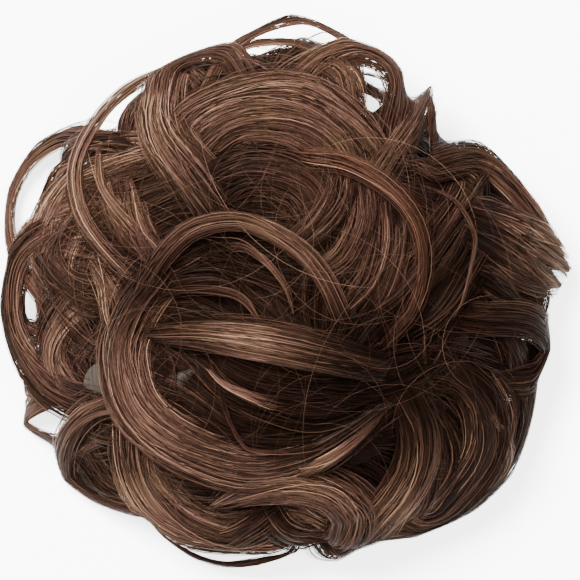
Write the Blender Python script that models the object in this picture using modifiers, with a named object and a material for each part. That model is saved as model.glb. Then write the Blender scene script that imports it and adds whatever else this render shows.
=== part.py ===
"""Top knot hairpiece: two rows of curled hair sewn round an elastic loop.

Metres, +Z up. The hairpiece lies on its elastic with the curls upward, and the
origin is on the surface below its middle. Tables are in millimetres.
"""

import math
from collections import namedtuple

import bmesh
import bpy
from mathutils import Vector

MM = 0.001

# The mass of curls is a dome: its reach, its height at the rim and over the middle, its fullness
REACH = 73.0
RIM_HEIGHT = 9.0
CROWN_HEIGHT = 53.0
DOME_POWER = 0.62
FLOOR_CLEAR = 1.0

# The tables put x = 0 a little to the right of the middle of the box
MIDDLE_X = -0.9

# Gaps between single locks, round the fused rows of curls, and round the elastic in its seat
TOUCH_GAP = 0.3
SKIN_GAP = 0.9
SEAT_GAP = 0.45

# The skin over the fused rows, in metres and triangles
SKIN_VOXEL = 0.0008
CROWN_TRIANGLES = 4300
OUTER_TRIANGLES = 6400

# Flat elastic loop, standing on its edge
ELASTIC_RADIUS = 29.5
ELASTIC_THICK = 2.4
ELASTIC_HIGH = 10.0
ELASTIC_EDGE = 0.5
ELASTIC_STEPS = 36
ELASTIC_WELD = 0.01

# Ring of hair sewn round the elastic, which the outer curls grow from
RING_RADIUS = 43.0
RING_HALF_WIDE = 14.5
RING_HALF_HIGH = 12.5
RING_MIDDLE = 13.5
RING_STEPS = 36
RING_SIDES = 8
GATHERS = 14
GATHER_DEPTH = 0.05

# Mat of hair over the middle, which the crown curls grow from
MAT_RADIUS = 50.0
MAT_FLOOR = 27.0
MAT_SINK = 6.0
MAT_RINGS = 5
MAT_SIDES = 24

# Locks: sides of the section, steps along it, width at a tip and a root, fullness, outward lean
LOCK_SIDES = 6
LONGEST_STEP = 15.0
SHARPEST_TURN = math.radians(32.0)
FINE_STEPS = 12
TIP_SHARE = 0.3
ROOT_SHARE = 0.8
FULLNESS = 0.5
LEAN = 0.16

# Where the hidden ends of the locks go down to: radius, height, and how far past the end
DIVE_RUN = 9.0
OUTER_ROOT = (48.0, 15.0)
CROWN_ROOT = (42.0, 31.0)

# Curls round the flank, under the ones the photo shows: radius and height down each one
FLANK_CURLS = 17
FLANK_WIDE = 8.5
FLANK_THICK = 4.5
FLANK_TURN = 0.13
FLANK_WAVE = 2.0
FLANK_COURSE = ((50.0, 28.0), (58.0, 26.0), (63.0, 17.0), (58.0, 7.0), (50.0, 6.0))

# ends: which ends go down to the root; sink: depth below the dome at start, middle and end
Lock = namedtuple("Lock", "name wide thick ends sink path")

RIM_LOCKS = (
    Lock("loop_left_high", 3.2, 2.4, "both", (9, 6, 9),
         ((-52, 39), (-60, 38), (-67, 30), (-70, 20), (-68, 10), (-60, -2), (-55, -10))),
    Lock("loop_left_low", 4.6, 3.0, "both", (4, 3, 6),
         ((-60, 14), (-68, 7), (-71, -4), (-70, -15), (-64, -24), (-53, -28))),
    Lock("hook_left", 3.0, 2.4, "both", (10, 8, 9),
         ((-57, -26), (-64, -28), (-68, -32), (-65, -36), (-56, -38))),
    Lock("inner_upper_left", 4.0, 3.2, "both", (6, 5, 6),
         ((-44, 40), (-48, 34), (-46, 26), (-38, 20))),
    Lock("band_left", 8.0, 4.5, "both", (7, 5, 6),
         ((-54, 24), (-45, 28), (-36, 31), (-26, 32))),
    Lock("fan_left_a", 8.0, 4.5, "both", (9, 6, 9),
         ((-48, 30), (-58, 21), (-61, 9), (-54, -2))),
    Lock("fan_left_b", 7.0, 4.0, "both", (9, 7, 9),
         ((-45, 22), (-52, 14), (-55, 4), (-50, -6))),
    Lock("curl_left", 6.5, 4.0, "both", (8, 6, 8),
         ((-43, -1), (-52, -3), (-59, -10), (-60, -19), (-52, -29))),
    Lock("knot_top_left", 7.0, 4.5, "both", (2, 0, 5),
         ((-33, 46), (-31, 56), (-24, 60), (-15, 59), (-10, 51))),
    Lock("arc_top", 2.6, 2.2, "both", (6, 3, 6),
         ((-22, 48), (-17, 58), (-9, 65), (2, 69), (11, 67), (17, 60))),
    Lock("arc_top_inner", 3.6, 2.8, "both", (7, 5, 7),
         ((-20, 50), (-13, 59), (-3, 62), (6, 60), (9, 53))),
    Lock("loop_top_right", 9.5, 5.0, "both", (4, 2, 4),
         ((-2, 49), (6, 57), (16, 61), (25, 58), (29, 50), (27, 39))),
    Lock("tuft_top_right", 6.5, 4.5, "both", (5, 4, 5),
         ((22, 31), (28, 40), (34, 48), (37, 45), (37, 35))),
    Lock("fan_right_high", 9.0, 4.5, "both", (3, 4, 5),
         ((35, 31), (46, 36), (54, 31), (62, 20), (67, 9))),
    Lock("fan_right_mid", 10.0, 5.0, "start", (4, 4, 4),
         ((40, 23), (52, 24), (61, 15), (69, 6))),
    Lock("fan_right_low", 10.0, 5.0, "both", (4, 4, 7),
         ((41, 17), (52, 13), (60, 6), (63, -2), (58, -10))),
    Lock("edge_right", 8.0, 4.5, "both", (6, 4, 6),
         ((60, -20), (61, -32), (56, -44), (45, -55), (31, -60))),
    Lock("edge_bottom_right", 7.0, 3.5, "both", (10, 8, 8),
         ((50, -50), (40, -58), (29, -62), (18, -61))),
    Lock("curl_bottom_left", 6.5, 4.5, "both", (5, 4, 6),
         ((-38, -27), (-50, -29), (-58, -36), (-58, -46), (-50, -53), (-37, -56))),
    Lock("strap_bottom_left", 5.0, 3.5, "both", (8, 7, 8),
         ((-41, -34), (-51, -38), (-58, -43))),
    Lock("arc_bottom_left", 6.0, 4.0, "both", (5, 4, 6),
         ((-42, -33), (-41, -46), (-35, -57), (-24, -64), (-12, -66), (-1, -63))),
    Lock("arc_bottom_inner", 6.5, 4.0, "both", (5, 5, 5),
         ((-36, -38), (-34, -48), (-26, -57), (-15, -61), (-6, -58))),
    Lock("thread_bottom", 2.2, 2.0, "both", (8, 7, 8),
         ((-30, -63), (-20, -68), (-9, -69), (1, -65))),
    Lock("barrel_bottom", 12.0, 7.0, "both", (4, 0, 4),
         ((-19, -58), (-11, -54), (0, -53), (10, -55), (17, -60))),
)

CROWN_LOCKS = (
    Lock("loop_upper_left", 5.0, 3.6, "both", (3, 2, 4),
         ((-29, 55), (-41, 51), (-49, 41), (-53, 29), (-50, 17), (-40, 6), (-30, 0))),
    Lock("fall_top_left", 12.5, 5.0, "both", (3, 2, 3),
         ((-28, 55), (-32, 46), (-30, 37), (-23, 27), (-17, 18))),
    Lock("curl_right", 9.0, 4.5, "both", (4, 3, 6),
         ((33, -3), (46, -7), (59, -8), (66, -14), (62, -22), (50, -23))),
    Lock("fall_right", 9.0, 5.0, "both", (3, 2, 5),
         ((38, -18), (47, -27), (49, -38), (44, -48), (33, -56))),
    Lock("fall_bottom_right", 10.0, 5.0, "both", (3, 1, 6),
         ((25, -22), (31, -34), (30, -45), (23, -56), (12, -65))),
    Lock("brow_top", 11.0, 5.0, "both", (4, 1, 4),
         ((-30, 33), (-23, 43), (-10, 48), (3, 47), (14, 39), (21, 29))),
    Lock("brow_inner", 10.0, 5.0, "both", (4, 2, 4),
         ((-23, 30), (-14, 38), (-2, 39), (8, 34), (13, 24))),
    Lock("swirl_mid", 10.0, 5.0, "both", (3, 2, 3),
         ((-22, 22), (-10, 28), (2, 25), (8, 15))),
    Lock("fan_first", 7.0, 4.0, "both", (3, 1, 3),
         ((13, 31), (12, 23), (7, 16), (0, 10))),
    Lock("fan_second", 7.0, 4.0, "both", (3, 1, 3),
         ((17, 29), (18, 19), (14, 9), (8, 4))),
    Lock("fan_third", 7.0, 4.0, "both", (4, 2, 4),
         ((21, 24), (22, 13), (19, 3), (13, -4))),
    Lock("fan_fourth", 6.0, 4.0, "both", (4, 2, 4),
         ((26, 22), (27, 12), (24, 1), (20, -6))),
    Lock("slope_right", 9.0, 4.5, "both", (3, 2, 4),
         ((44, 26), (39, 15), (31, 4), (23, -4))),
    Lock("slope_right_low", 8.0, 4.5, "both", (4, 2, 4),
         ((48, 13), (42, 3), (35, -6), (27, -11))),
    Lock("hollow_left", 8.0, 4.5, "both", (6, 6, 6),
         ((-30, -3), (-24, 6), (-14, 9), (-3, 4), (3, -4))),
    Lock("arc_under", 7.0, 4.0, "both", (3, 3, 4),
         ((-35, -1), (-24, 2), (-15, 1), (-8, -7))),
    Lock("middle_low", 8.0, 4.5, "both", (3, 3, 3),
         ((-23, -17), (-16, -24), (-6, -28), (6, -30), (16, -27))),
    Lock("middle_lower", 8.0, 4.5, "both", (4, 4, 4),
         ((-28, -22), (-19, -33), (-6, -37), (9, -36), (20, -28))),
    Lock("middle_right", 9.0, 4.5, "both", (3, 3, 3),
         ((6, -22), (17, -23), (28, -20), (38, -13))),
)

SWEEP_LOCK = Lock("sweep_lock", 12.0, 5.5, "both", (3, 1.5, 4),
                  ((-31, 3), (-38, -5), (-42, -15), (-38, -28), (-28, -38), (-12, -44),
                   (2, -43), (14, -36), (26, -26)))
CENTRE_LOCK = Lock("centre_lock", 9.5, 4.5, "both", (2, -2, 2),
                   ((-32, -9), (-20, -10), (-6, -12), (8, -15), (22, -19)))
ARC_LOCK = Lock("arc_lock", 4.2, 3.4, "both", (2, -2, 3),
                ((-38, -2), (-33, 7), (-24, 15), (-12, 17), (0, 12), (8, 4), (13, -7)))
HOOP_LOCK = Lock("hoop_lock", 3.6, 3.0, "both", (1, -2, 2),
                 ((4, 33), (14, 32), (25, 26), (32, 17), (34, 6), (31, -5), (24, -13)))

# Colours as linear RGB, and how matt each is
HAIR_BROWN = (0.055, 0.026, 0.016)
HAIR_LIGHT = (0.085, 0.043, 0.027)
HAIR_RED = (0.075, 0.027, 0.015)
ELASTIC_BROWN = (0.018, 0.010, 0.008)
HAIR_ROUGHNESS = 0.42
ELASTIC_ROUGHNESS = 0.8


def clear_scene():
    for found in list(bpy.data.objects):
        bpy.data.objects.remove(found)


def new_collection(name):
    collection = bpy.data.collections.new(name)
    bpy.context.scene.collection.children.link(collection)
    return collection


def material(name, colour, roughness):
    made = bpy.data.materials.new(name)
    made.use_nodes = True
    shader = made.node_tree.nodes["Principled BSDF"]
    shader.inputs["Base Color"].default_value = (*colour, 1.0)
    shader.inputs["Roughness"].default_value = roughness
    shader.inputs["Metallic"].default_value = 0.0
    return made


def dome(x, y):
    """Height of the mass of curls above the surface, at a place in plan."""
    share = min(math.hypot(x, y) / REACH, 1.0)
    return RIM_HEIGHT + (CROWN_HEIGHT - RIM_HEIGHT) * (1.0 - share * share) ** DOME_POWER


def root_beyond(end, before, root):
    """Where a lock's hidden end goes down to: on past the end, at its row's ring or inside it."""
    radius, height = root
    ahead = Vector((end.x - before.x, end.y - before.y, 0.0)).normalized() * DIVE_RUN
    flat = Vector((end.x, end.y, 0.0)) + ahead
    flat = flat.normalized() * min(radius, flat.length)
    return Vector((flat.x, flat.y, height))


def flank_route(number):
    """One curl of the flank: out over the ring's shoulder, down and back under, leaning sideways."""
    middle = 2 * math.pi * number / FLANK_CURLS
    lean = FLANK_TURN if number % 2 else -FLANK_TURN
    swell = FLANK_WAVE * math.sin(3 * middle)
    points = []
    for step, (radius, height) in enumerate(FLANK_COURSE):
        turn = middle + lean * (step - 2)
        out = radius + swell * math.sin(math.pi * step / (len(FLANK_COURSE) - 1))
        points.append(Vector((out * math.cos(turn), out * math.sin(turn), height)))
    return points


def through(points, share):
    """A point on the smooth curve through the points, at a share of the way along."""
    spans = len(points) - 1
    place = min(max(share, 0.0), 1.0) * spans
    first = min(int(place), spans - 1)
    t = place - first
    before = points[first - 1] if first > 0 else points[0] * 2.0 - points[1]
    after = points[first + 2] if first + 2 <= spans else points[-1] * 2.0 - points[-2]
    start = points[first]
    end = points[first + 1]
    return 0.5 * ((2.0 * start)
                  + (end - before) * t
                  + (2.0 * before - 5.0 * start + 4.0 * end - after) * t * t
                  + (3.0 * start - before - 3.0 * end + after) * t * t * t)


def lock_route(lock, root):
    """The lock's middle line in space: the plan path laid on the dome, its ends taken down."""
    last = len(lock.path) - 1
    points = []
    for i, (x, y) in enumerate(lock.path):
        share = i / last
        at_start, at_middle, at_end = lock.sink
        sink = (at_start * (1 - share) * (1 - 2 * share)
                + at_middle * 4 * share * (1 - share)
                + at_end * share * (2 * share - 1))
        lowest = FLOOR_CLEAR + lock.thick / 2 + lock.wide / 4
        points.append(Vector((x, y, max(dome(x, y) - sink - lock.thick / 2, lowest))))
    if lock.ends in ("both", "end"):
        points.append(root_beyond(points[-1], points[-2], root))
    if lock.ends in ("both", "start"):
        points.insert(0, root_beyond(points[0], points[1], root))
    return points


def stations(points):
    """Points along the route, close where it turns and wide apart where it is straight."""
    count = FINE_STEPS * (len(points) - 1)
    fine = [through(points, i / count) for i in range(count + 1)]
    kept = [0]
    walked = 0.0
    turned = 0.0
    for i in range(1, count):
        step = fine[i] - fine[i - 1]
        ahead = fine[i + 1] - fine[i]
        walked += step.length
        turned += step.angle(ahead, 0.0)
        if walked > LONGEST_STEP or turned > SHARPEST_TURN:
            kept.append(i)
            walked = 0.0
            turned = 0.0
    if kept[-1] > count - FINE_STEPS // 4:
        kept.pop()
    kept.append(count)
    places = [fine[i] for i in kept]
    along = [fine[min(i + 1, count)] - fine[max(i - 1, 0)] for i in kept]
    return places, [way.normalized() for way in along], [i / count for i in kept]


def facing(places, ways):
    """The way each section's flat side looks: outward from the dome, turning smoothly."""
    looks = []
    for place, way in zip(places, ways):
        low = 1.0 - place.z / CROWN_HEIGHT
        outward = Vector((place.x, place.y, 0.0)) * (LEAN * low / RIM_HEIGHT)
        outward.z = 1.0
        outward.normalize()
        trust = way.cross(outward).length_squared
        look = outward - way * outward.dot(way)
        if looks:
            carried = looks[-1] - way * looks[-1].dot(way)
            look = look * trust + carried * (1.0 - trust)
        looks.append(look.normalized())
    return looks


def width_share(share, ends):
    """The lock narrows a little towards its roots and more towards a free tip."""
    start = ROOT_SHARE if ends in ("both", "start") else TIP_SHARE
    end = ROOT_SHARE if ends in ("both", "end") else TIP_SHARE
    full = math.sin(math.pi * share) ** FULLNESS
    ends_here = start * (1 - share) + end * share
    return ends_here + (1.0 - ends_here) * full


def closed_mesh(name, shape):
    """The shape as a mesh of triangles that face out."""
    bmesh.ops.recalc_face_normals(shape, faces=shape.faces)
    bmesh.ops.triangulate(shape, faces=shape.faces)
    mesh = bpy.data.meshes.new(name)
    shape.to_mesh(mesh)
    shape.free()
    return mesh


def lock_mesh(lock, root, grow=0.0):
    return strip_mesh(lock, lock_route(lock, root), grow)


def flank_mesh(number):
    curl = Lock(f"flank_{number}", FLANK_WIDE, FLANK_THICK, "both", (), ())
    return strip_mesh(curl, flank_route(number))


def strip_mesh(lock, route, grow=0.0):
    """A closed tube of flattened sections along the route."""
    places, ways, shares = stations(route)
    places[0] = places[0] - ways[0] * grow
    places[-1] = places[-1] + ways[-1] * grow
    looks = facing(places, ways)
    shape = bmesh.new()
    rings = []
    for place, way, look, share in zip(places, ways, looks, shares):
        side = way.cross(look)
        size = width_share(share, lock.ends)
        half_wide = lock.wide / 2 * size + grow
        half_thick = lock.thick / 2 * size + grow
        ring = []
        for i in range(LOCK_SIDES):
            turn = 2 * math.pi * (i + 0.5) / LOCK_SIDES
            offset = side * (math.cos(turn) * half_wide) + look * (math.sin(turn) * half_thick)
            point = (place + offset - Vector((MIDDLE_X, 0.0, 0.0))) * MM
            ring.append(shape.verts.new(point))
        rings.append(ring)
    for here, ahead in zip(rings, rings[1:]):
        for i in range(LOCK_SIDES):
            j = (i + 1) % LOCK_SIDES
            shape.faces.new((here[i], here[j], ahead[j], ahead[i]))
    shape.faces.new(list(reversed(rings[0])))
    shape.faces.new(rings[-1])
    return closed_mesh(lock.name, shape)


def ring_mesh():
    """The sewn ring of hair, gathered in soft waves round its outside."""
    bpy.ops.mesh.primitive_torus_add(major_segments=RING_STEPS, minor_segments=RING_SIDES,
                                     major_radius=RING_RADIUS * MM,
                                     minor_radius=RING_HALF_WIDE * MM)
    ring = bpy.context.object
    shape = bmesh.new()
    shape.from_mesh(ring.data)
    bpy.data.objects.remove(ring)
    for vertex in shape.verts:
        x, y, z = vertex.co
        away = math.hypot(x, y)
        past_middle = max(away - RING_RADIUS * MM, 0.0)
        wave = GATHER_DEPTH * math.sin(GATHERS * math.atan2(y, x))
        spread = 1.0 + past_middle * wave / away
        high = z * RING_HALF_HIGH / RING_HALF_WIDE
        vertex.co = (x * spread, y * spread, RING_MIDDLE * MM + high)
    return closed_mesh("ring", shape)


def mat_mesh():
    """The mat of hair over the middle: a dome with a flat underside."""
    bpy.ops.mesh.primitive_cylinder_add(vertices=MAT_SIDES, radius=MAT_RADIUS * MM,
                                        depth=MM, end_fill_type="TRIFAN")
    mat = bpy.context.object
    shape = bmesh.new()
    shape.from_mesh(mat.data)
    bpy.data.objects.remove(mat)
    spokes = [edge for edge in shape.edges
              if edge.calc_length() > MAT_RADIUS * MM / 2
              and min(vertex.co.z for vertex in edge.verts) > 0.0]
    bmesh.ops.subdivide_edges(shape, edges=spokes, cuts=MAT_RINGS - 1, use_grid_fill=True)
    for vertex in shape.verts:
        if vertex.co.z > 0.0:
            vertex.co.z = (dome(vertex.co.x / MM, vertex.co.y / MM) - MAT_SINK) * MM
        else:
            vertex.co.z = MAT_FLOOR * MM
    return closed_mesh("mat", shape)


def elastic_mesh(grow=0.0):
    """A turned strip with eased edges."""
    inner = ELASTIC_RADIUS - ELASTIC_THICK / 2 - grow
    outer = ELASTIC_RADIUS + ELASTIC_THICK / 2 + grow
    high = ELASTIC_HIGH + grow
    low = -grow
    edge = ELASTIC_EDGE
    profile = ((outer - edge, high), (outer, high - edge), (outer, low + edge),
               (outer - edge, low), (inner + edge, low), (inner, low + edge),
               (inner, high - edge), (inner + edge, high))
    shape = bmesh.new()
    points = [shape.verts.new((x * MM, 0.0, z * MM)) for x, z in profile]
    for i, point in enumerate(points):
        shape.edges.new((point, points[(i + 1) % len(points)]))
    mesh = bpy.data.meshes.new("elastic")
    shape.to_mesh(mesh)
    shape.free()
    made = as_object("elastic", mesh, bpy.context.scene.collection)
    turned = made.modifiers.new("turned", "SCREW")
    turned.steps = ELASTIC_STEPS
    turned.render_steps = ELASTIC_STEPS
    turned.use_merge_vertices = True
    turned.merge_threshold = ELASTIC_WELD * MM
    return finished_mesh(made)


def as_object(name, mesh, collection):
    made = bpy.data.objects.new(name, mesh)
    collection.objects.link(made)
    return made


def finished_mesh(made):
    """The object's mesh with its modifiers applied, and the object removed."""
    seen = bpy.context.evaluated_depsgraph_get()
    mesh = bpy.data.meshes.new_from_object(made.evaluated_get(seen))
    bpy.data.objects.remove(made)
    return mesh


def combined(mesh, other_mesh, operation, collection):
    """The union or difference of two closed meshes. EXACT leaves locks that graze each other open."""
    base = as_object("base", mesh, collection)
    other = as_object("other", other_mesh, collection)
    other.display_type = "WIRE"
    other.hide_render = True
    change = base.modifiers.new("change", "BOOLEAN")
    change.operation = operation
    change.object = other
    change.solver = "MANIFOLD"
    result = finished_mesh(base)
    bpy.data.objects.remove(other)
    return result


def joined(meshes, collection):
    """The union of several closed meshes, as one mesh."""
    whole, *others = meshes
    for other in others:
        whole = combined(whole, other, "UNION", collection)
    return whole


def carved(mesh, cutters, collection):
    """The mesh with room for its neighbours cut out of it."""
    for cutter in cutters:
        mesh = combined(mesh, cutter, "DIFFERENCE", collection)
    return mesh


def bodies_of(shape):
    """The points of each connected body, the largest body last."""
    bodies = []
    waiting = set(shape.verts)
    while waiting:
        body = []
        border = [waiting.pop()]
        while border:
            vertex = border.pop()
            body.append(vertex)
            for edge in vertex.link_edges:
                other = edge.other_vert(vertex)
                if other in waiting:
                    waiting.remove(other)
                    border.append(other)
        bodies.append(body)
    return sorted(bodies, key=len)


def largest_body(mesh):
    """Only the largest connected body, without the chips and closed bubbles."""
    shape = bmesh.new()
    shape.from_mesh(mesh)
    chips = [vertex for body in bodies_of(shape)[:-1] for vertex in body]
    bmesh.ops.delete(shape, geom=chips, context="VERTS")
    shape.to_mesh(mesh)
    shape.free()
    return mesh


def even_skin(mesh, collection, grow=0.0):
    """An even skin over the mesh, moved outward by grow."""
    made = as_object("skin", mesh.copy(), collection)
    outward = made.modifiers.new("outward", "DISPLACE")
    outward.mid_level = 0.0
    outward.strength = grow * MM
    skin = made.modifiers.new("skin", "REMESH")
    skin.mode = "VOXEL"
    skin.voxel_size = SKIN_VOXEL
    return largest_body(finished_mesh(made))


def one_skin(mesh, triangles, collection):
    """An even skin over the fused locks, thinned to about that many triangles."""
    made = as_object("skin", even_skin(mesh, collection), collection)
    thinned = made.modifiers.new("thinned", "DECIMATE")
    thinned.ratio = triangles / (2 * len(made.data.polygons))
    return finished_mesh(made)


def add_part(name, mesh, finish, collection):
    mesh.materials.append(finish)
    mesh.shade_smooth()
    return as_object(name, mesh, collection)


def build():
    clear_scene()
    parts = new_collection("top_knot_hairpiece")
    cutters = new_collection("cutters")
    brown = material("hair_brown", HAIR_BROWN, HAIR_ROUGHNESS)
    light = material("hair_light", HAIR_LIGHT, HAIR_ROUGHNESS)
    red = material("hair_red", HAIR_RED, HAIR_ROUGHNESS)
    dark = material("elastic", ELASTIC_BROWN, ELASTIC_ROUGHNESS)

    add_part("elastic_band", elastic_mesh(), dark, parts)

    single = {SWEEP_LOCK: light, CENTRE_LOCK: light, ARC_LOCK: brown, HOOP_LOCK: red}
    room = []
    for lock, finish in single.items():
        mesh = largest_body(carved(lock_mesh(lock, CROWN_ROOT), room, cutters))
        add_part(lock.name, mesh, finish, parts)
        room.append(lock_mesh(lock, CROWN_ROOT, TOUCH_GAP))

    room = [lock_mesh(lock, CROWN_ROOT, SKIN_GAP) for lock in single]
    crown = joined([mat_mesh()] + [lock_mesh(lock, CROWN_ROOT) for lock in CROWN_LOCKS], cutters)
    crown = one_skin(carved(crown, room, cutters), CROWN_TRIANGLES, cutters)
    add_part("crown_curls", crown, brown, parts)

    room += [even_skin(crown, cutters, SKIN_GAP), elastic_mesh(SEAT_GAP)]
    curls = [flank_mesh(number) for number in range(FLANK_CURLS)]
    curls += [lock_mesh(lock, OUTER_ROOT) for lock in RIM_LOCKS]
    outer = joined([ring_mesh()] + curls, cutters)
    outer = one_skin(carved(outer, room, cutters), OUTER_TRIANGLES, cutters)
    add_part("outer_curls", outer, brown, parts)


build()
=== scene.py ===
"""Looks of the top knot hairpiece: every lock as a bundle of fine strands over a dark core.

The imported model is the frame. Tables are in millimetres and seen from above, +X to the right
and +Y to the top of the picture.
"""

import math
from collections import namedtuple

import bpy
import numpy as np
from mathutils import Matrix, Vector


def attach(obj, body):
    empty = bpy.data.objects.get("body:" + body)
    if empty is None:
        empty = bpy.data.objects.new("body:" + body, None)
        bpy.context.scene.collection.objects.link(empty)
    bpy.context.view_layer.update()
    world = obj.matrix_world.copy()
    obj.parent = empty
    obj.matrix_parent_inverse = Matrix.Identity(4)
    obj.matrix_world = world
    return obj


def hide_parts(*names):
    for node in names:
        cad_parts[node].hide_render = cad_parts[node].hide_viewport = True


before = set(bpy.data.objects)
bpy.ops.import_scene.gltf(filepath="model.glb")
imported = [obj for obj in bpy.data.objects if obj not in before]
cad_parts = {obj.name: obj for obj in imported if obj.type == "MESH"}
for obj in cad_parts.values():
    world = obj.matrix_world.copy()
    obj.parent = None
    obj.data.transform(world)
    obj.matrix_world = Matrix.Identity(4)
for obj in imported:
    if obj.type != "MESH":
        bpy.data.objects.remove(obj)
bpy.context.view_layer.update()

MM = 0.001
SEED = 11
TINY = 1e-9

# The mass of curls is a dome, as in the solids
REACH = 73.0
RIM_HEIGHT = 9.0
CROWN_HEIGHT = 53.0
DOME_POWER = 0.62
FLOOR_CLEAR = 1.0
MIDDLE_X = -0.9
LEAN = 0.16

# Hidden ends of the locks: radius and height they go down to, run, depth, painted shade where they go under
# other locks and its fade, size
OUTER_ROOT = (48.0, 15.0)
CROWN_ROOT = (42.0, 31.0)
DIVE_RUN = 9.0
ROOT_SINK = 2.0
ROOT_PAINTED_SHADE = -0.30
ROOT_FADE = 6.0
ROOT_SHARE = 0.8
TIP_SHARE = 0.3

# Ring of hair round the elastic, and the mat over the middle
RING_RADIUS = 43.0
RING_HALF_WIDE = 14.5
RING_HALF_HIGH = 12.5
RING_MIDDLE = 13.5
RING_INSET = 0.93
RING_DENT = 10.0
RING_DENT_AT = 1.165
RING_DENT_TURN = 0.075
RING_STEPS = 144
RING_SIDES = 24
RING_MAP = (4.3, 1.4)
MAT_RADIUS = 47.0
MAT_FLOOR = 27.3
MAT_SINK = 6.5
MAT_SIDES = 96
MAT_RINGS = 15
MAT_MAP = (4.0, 5.0)
HOLE = 0.02

# Curls round the flank
FLANK_CURLS = 17
FLANK_WIDE = 8.5
FLANK_THICK = 4.5
FLANK_TURN = 0.13
FLANK_WAVE = 2.0
FLANK_INSET = 5.0
FLANK_DENSITY = 0.5
FLANK_TONE = (0.36, 0.42, 0.36)
FLANK_COURSE = ((50.0, 28.0), (58.0, 26.0), (63.0, 17.0), (58.0, 7.0), (50.0, 6.0))

# Stations along a lock: steps between its points, longest step and sharpest turn
CURVE_STEPS = 24
LONG_STEP = 14.0
TURN_STEP = math.radians(18.0)
SPARE_STATIONS = 3

# Dark insides of the locks
CORE_SIDES = 8
CORE_SHARE = 0.58
CORE_TIP = 0.05
CORE_LEAST = 3.5
SINGLE_CORE_LEAST = 4.9
MAP_UNIT = 10.0

# Strands: half width of the flat ones and radius of the round ones, how many, and their sizes
RIBBON_HALF = 0.085
THREAD_RADIUS = 0.045
THREAD_SIDES = 3
RIBBONS_PER_MM = 40.0
RIBBON_SIZES = (0.7, 1.25)
THREAD_SIZES = (0.6, 1.0)
RIBBON_TAPER = (12.0, 0.35)
THREAD_TAPER = (8.0, 0.3)
ROLL = 1.0
LOCK_SPREAD = 1.12
TRIM = 0.26
TRIM_POWER = 1.4

# Places in a lock's section: turn past its sides, share underneath, and depths squared
SIDE_TURN = 0.4
UNDER_SHARE = 0.25
DEPTH_LEAST = 0.6
CLUMP_DEPTH = 1.0
STRAND_DEPTH = 1.05

# Clumps of strands: how many, how tightly they gather, and how they differ
CLUMPS_PER_MM = 1.6
CLUMPS_LEAST = 4
GATHER = (0.2, 0.7)
GATHER_MOST = 0.9
CLUMP_LIFT = 0.14
CLUMP_TONE = 0.095
STRAND_TONE = 0.14
TONES = (0.02, 0.98)
# Painted light and shade: the hair is painted lighter towards the upper left, where the key light falls,
# and darker to the lower right; change per millimetre and most change
PAINTED_LIGHT_SLOPE = 0.0011
PAINTED_LIGHT_SLOPE_MOST = 0.1

# Wandering along the strands: size, waves
WAVE_RATE = 1.7
GATHER_WAVES = (0.16, 2)
CLUMP_SIDE_WAVES = (0.12, 3)
CLUMP_HIGH_WAVES = (0.10, 3)
STRAND_WAVES = (0.09, 2)
WAVER_SIDE = (0.08, 5)
WAVER_HIGH = (0.06, 5)

# Strands that peel away from a lock: share of them, start, curve, reach sideways and up, tone
LOCK_STRAY = 0.035
RIM_STRAY = 0.006
BETWEEN_STRAY = 0.03
PEEL_FROM = (0.25, 0.75)
PEEL_POWER = 1.5
PEEL_SIDE = 5.0
PEEL_LIFT = (0.5, 4.0)
PEEL_TONE = 0.1

# Strands that fill the hollows between the locks
FIELD_COUNT = 4600
FIELD_RADIUS = 54.0
FIELD_DEPTH = 4.8
FIELD_ROUGH = 0.8
FIELD_DIVE = 4.0
FIELD_REACH = 5.0
FIELD_STEPS = 12
FIELD_STRIDE = 3.2
FIELD_EDGE = 5.0
FIELD_KEEP = 0.35
FIELD_TURN = 0.2
FIELD_LEAN = 0.012
FIELD_DEPTH_WAVES = (0.3, 3)
FIELD_SIDE_WAVES = (0.25, 3)
FIELD_SIZES = (0.7, 1.2)
FIELD_TONE = (0.30, 0.13)

# Loose single strands
WISP_COUNT = 180
WISP_STEPS = 14
WISP_RADIUS = 60.0
WISP_LENGTHS = (30.0, 75.0)
WISP_BENDS = (1.2, 3.2)
WISP_BOWS = (0.5, 3.2)
WISP_SINK = 1.5
WISP_FLOOR = 1.5
WISP_OVER = 1.0
WISP_EDGE = 3.0
WISP_TONE = (0.60, 0.12)
WISP_TONES = (0.1, 0.98)

# The outline: strands are eased to it over a soft stretch, and stay above the surface
EDGE_SOFT = 3.5
EDGE_SPARE = 2.2
STRAND_FLOOR = 0.4

# How far the mass of curls reaches from its middle: direction in degrees from +X, reach
OUTLINE = ((0, 67), (2, 69), (4, 71.4), (9, 70.4), (15, 67.7), (20, 66.1), (30, 62.5), (39, 60.2),
           (43, 53.6), (47, 53.2), (50.5, 57.6), (52.5, 61.2), (55.5, 61), (57, 55.2), (60, 55.4),
           (62.5, 60.2), (66, 62.4), (70, 63.4), (75, 63.8), (80, 65.4), (90, 69.4), (98, 65), (104, 63.4),
           (110, 62.9), (120, 63.2), (130, 66.6), (136, 66.8), (140, 66.2), (150, 73.8), (160, 75.4),
           (170, 72.8), (175, 71.4), (183, 73.4), (190, 72.6), (200, 71.6), (204, 72), (207, 75.2),
           (213, 70.9), (220, 73.9), (227, 72), (238, 66.9), (243, 69.2), (250, 71.8), (256, 72),
           (262, 70.8), (266, 68.4), (270, 65.9), (280, 68.2), (285, 66), (290, 66.2), (296, 68.9),
           (300, 69.2), (310, 71.7), (320, 71.9), (330, 68.4), (340, 64.9), (347, 65.8), (353, 64))

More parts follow.
